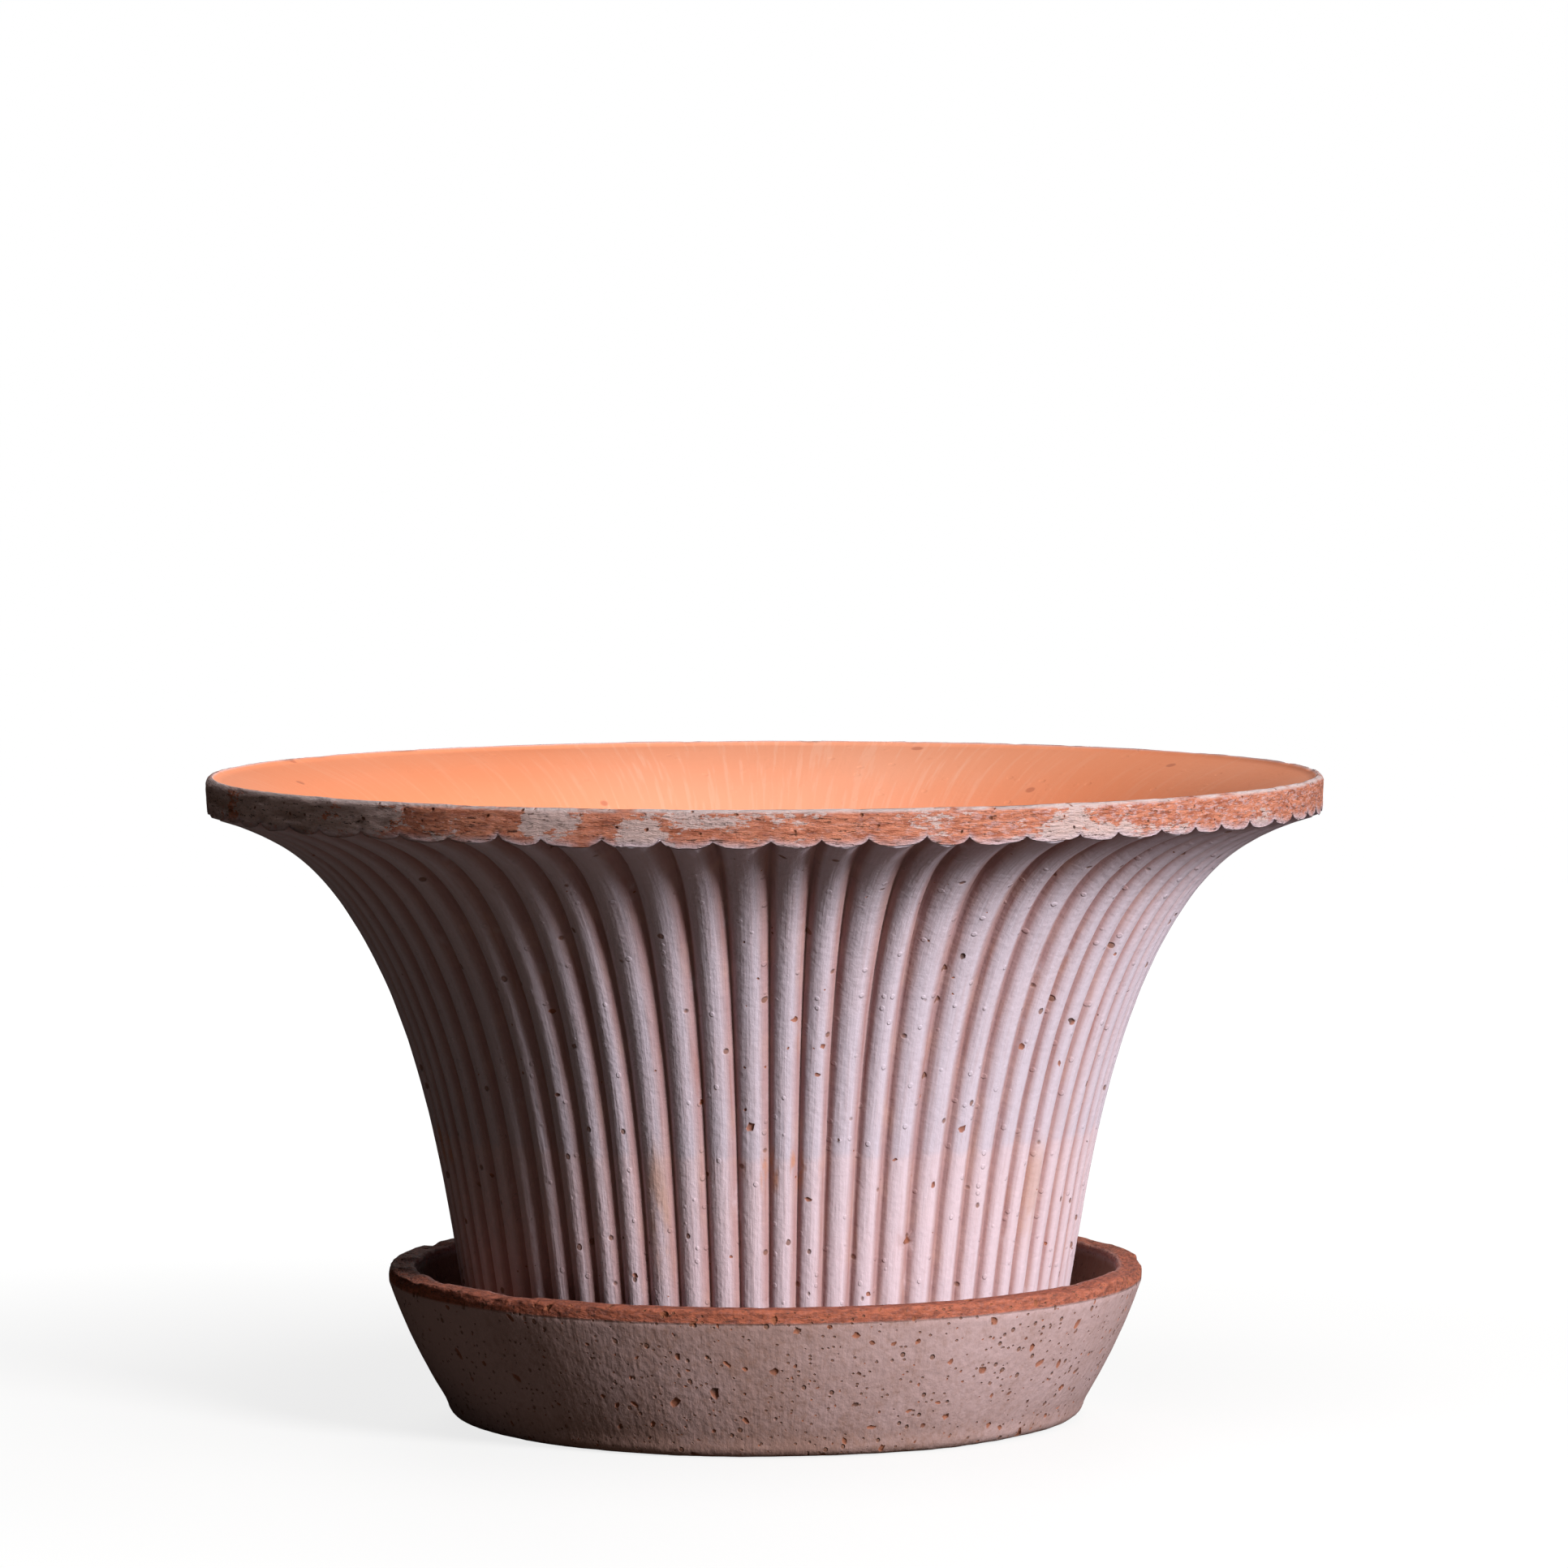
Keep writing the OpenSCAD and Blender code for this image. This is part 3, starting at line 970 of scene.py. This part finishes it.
def pot_clay(band_level):
    p = Paint("washed_terracotta")
    torn, lip, bare, pit = (p.mark(m) for m in ("torn", "lip", "bare", "pit"))
    specks = p.grains(330, 0.07, 0.3)
    chalk = band_chalk(p, band_level)
    wiped = p.patch(178, band_level + 30 * MM, 34, 60 * MM)
    colour = p.mix(wash_colour(p), CLAY_DEEP, p.times(specks, 0.8))
    dust = p.plus(0.1, p.times(p.patch(58, band_level, 60, 30 * MM), 0.4))
    colour = p.mix(colour, torn_colour(p, TORN, TORN_DEEP, chalk, dust), p.step(torn, 0.3, 0.6))
    colour = p.mix(colour, inside_colour(p, INSIDE, INSIDE_PALE, wiped), p.step(bare, 0.4, 0.9))
    powdered = p.step(p.plus(p.noise(190, 3.0), p.times(chalk, 1.2)), 0.3, 0.55)
    powdered = p.times(powdered, p.math("ADD", 0.1, p.patch(15, band_level, 125, 90 * MM), True))
    colour = p.mix(colour, LIME_WHITE, p.times(p.step(lip, 0.1, 0.6), powdered))
    colour = p.mix(colour, pit_clay_and_shade(p), p.times(pit, 0.9))
    brush = p.times(p.noise(1100, 3.0, stretch=(1, 1, 0.06)), 0.16)
    bumps = p.plus(p.times(p.grains(420, 0.16, 0.3), 0.14), p.times(p.noise(620, 4.0), 0.22))
    tears = p.times(p.step(torn, 0.3, 0.6), p.times(p.noise(420, 5.0, stretch=(1, 1, 3), roughness=0.7), 1.6))
    rough_skin = p.math("SUBTRACT", p.plus(brush, bumps), p.times(specks, 0.25))
    relief = p.plus(p.times(rough_skin, p.math("SUBTRACT", 1.0, p.times(bare, 0.75))), tears)
    return p.finish(colour, p.math("SUBTRACT", 0.95, p.times(bare, 0.1)), relief)


def saucer_clay():
    p = Paint("saucer_terracotta")
    torn, bare, pit = (p.mark(m) for m in ("torn", "bare", "pit"))
    brush = p.noise(1000, 3.0, stretch=(1, 1, 0.08))
    cover = p.plus(p.times(p.step(p.noise(60), 0.3, 0.7), 0.3), p.times(brush, -0.35))
    grain = p.times(p.step(p.noise(520, 4.0, roughness=0.7), 0.45, 0.7), -0.35)
    height = p.node("ShaderNodeSeparateXYZ", {}, Vector=p.drum()).outputs["Z"]
    cover = p.plus(cover, p.times(p.step(height, 14 * MM, 1 * MM), -0.4))
    # the patch at -80° thickens the wash on the saucer's left as painted light that brightens that side; the
    # patch at 62° thickens it on the right
    for angle, strength in ((62, 0.45), (-80, 0.9)):
        cover = p.plus(cover, p.times(p.patch(angle, 22 * MM, 56, 80 * MM), strength))
    colour = p.mix(SAUCER_CLAY, SAUCER_WASH, p.math("ADD", p.plus(cover, grain), 0.45, True))
    specks = p.math("MAXIMUM", p.grains(430, 0.1, 0.34), p.grains(760, 0.12, 0.36, stretch=(1, 1, 1.3)))
    worn_lip = torn_colour(p, SAUCER_TORN, SAUCER_TORN_DEEP, -0.25, 0.05)
    colour = p.mix(colour, worn_lip, p.times(p.step(torn, 0.35, 0.75), 0.95))
    colour = p.mix(colour, CLAY_DEEP, p.times(specks, 0.8))
    colour = p.mix(colour, inside_colour(p, SAUCER_INSIDE, SAUCER_INSIDE_PALE, 0.0), p.step(bare, 0.4, 0.9))
    colour = p.mix(colour, pit_clay_and_shade(p), p.times(pit, 0.9))
    tears = p.times(p.step(torn, 0.3, 0.7), p.times(p.noise(400, 4.0, (1, 1, 3)), 0.5))
    relief = p.plus(p.plus(p.times(brush, 0.1), p.times(p.noise(560, 4.0), 0.3)), tears)
    relief = p.math("SUBTRACT", relief, p.times(specks, 0.3))
    return p.finish(colour, p.math("SUBTRACT", 0.95, p.times(bare, 0.05)), relief)


def floor_paint():
    """A pale floor that fades to plain white away from the object, so that no horizon shows."""
    p = Paint("pale_floor")
    seen = p.node("ShaderNodeLightPath", {}).outputs["Is Camera Ray"]
    place = p.node("ShaderNodeTexCoord", {}).outputs["Object"]
    away = p.node("ShaderNodeVectorMath", {"operation": "LENGTH"})
    p.feed(away.inputs[0], place)
    glow = p.plus(0.8, p.times(p.step(away.outputs["Value"], 0.12, 0.4), 0.2))
    lit = p.times(p.math("SUBTRACT", 1.0, glow), 0.9)
    plain = p.node("ShaderNodeCombineColor", {}, Red=lit, Green=lit, Blue=lit).outputs[0]
    shade = p.mix((0.08, 0.06, 0.045, 1), plain, seen)
    material = p.finish(shade, 0.9, 0.0)
    surface = next(n for n in p.tree.nodes if n.type == "BSDF_PRINCIPLED")
    surface.inputs["Emission Color"].default_value = WHITE
    p.feed(surface.inputs["Emission Strength"], p.times(glow, seen))
    return material


# ---------------------------------------------------------------- stage, light and camera

def place_floor():
    """A wide plain floor, just under the saucer."""
    bpy.ops.mesh.primitive_plane_add(size=30, location=(0, 0, -0.2 * MM))
    floor = bpy.context.object
    floor.name = "floor"
    floor.data.materials.append(floor_paint())


def aim(obj, target):
    """Turns a light to face a point."""
    obj.rotation_euler = (Vector(target) - obj.location).to_track_quat("-Z", "Y").to_euler()


def area_light(name, azimuth_deg, elevation_deg, distance, size, power, colour):
    """A square soft box; azimuth is counted from the front towards the right."""
    a, e = math.radians(azimuth_deg), math.radians(elevation_deg)
    data = bpy.data.lights.new(name, "AREA")
    data.shape = "SQUARE"
    data.size = size
    data.energy = power
    data.color = colour
    light = bpy.data.objects.new(name, data)
    bpy.context.scene.collection.objects.link(light)
    middle = Vector((0, 0, LIP_Z / 2))
    light.location = middle + distance * Vector((
        math.sin(a) * math.cos(e), -math.cos(a) * math.cos(e), math.sin(e)
    ))
    aim(light, middle)


def light_scene():
    """The soft boxes, and a world that is dim but looks plain white to the camera."""
    for name, settings in LIGHTS.items():
        area_light(name, *settings)
    world = bpy.data.worlds.new("studio")
    bpy.context.scene.world = world
    world.use_nodes = True
    nodes, links = world.node_tree.nodes, world.node_tree.links
    background = nodes["Background"]
    path = nodes.new("ShaderNodeLightPath")
    tone = nodes.new("ShaderNodeMix")
    tone.data_type = "RGBA"
    tone.inputs[6].default_value = DIM
    tone.inputs[7].default_value = WHITE
    links.new(path.outputs["Is Camera Ray"], tone.inputs["Factor"])
    links.new(tone.outputs[2], background.inputs["Color"])


def place_camera():
    """The camera, well back and a little above the rim."""
    data = bpy.data.cameras.new("camera")
    data.lens = LENS_MM
    data.sensor_width = SENSOR_MM
    data.clip_end = 50
    camera = bpy.data.objects.new("camera", data)
    bpy.context.scene.collection.objects.link(camera)
    camera.location = CAMERA_AT
    camera.rotation_euler = (math.radians(90 - CAMERA_DOWN_DEG), math.radians(CAMERA_ROLL_DEG), 0)
    bpy.context.scene.camera = camera


# ---------------------------------------------------------------- put together

pot = build_pot()
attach(pot, "pot")
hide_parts("pot")

saucer = build_saucer()
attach(saucer, "saucer")
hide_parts("saucer")

place_floor()
light_scene()
place_camera()
bpy.context.scene.view_settings.view_transform = "Standard"

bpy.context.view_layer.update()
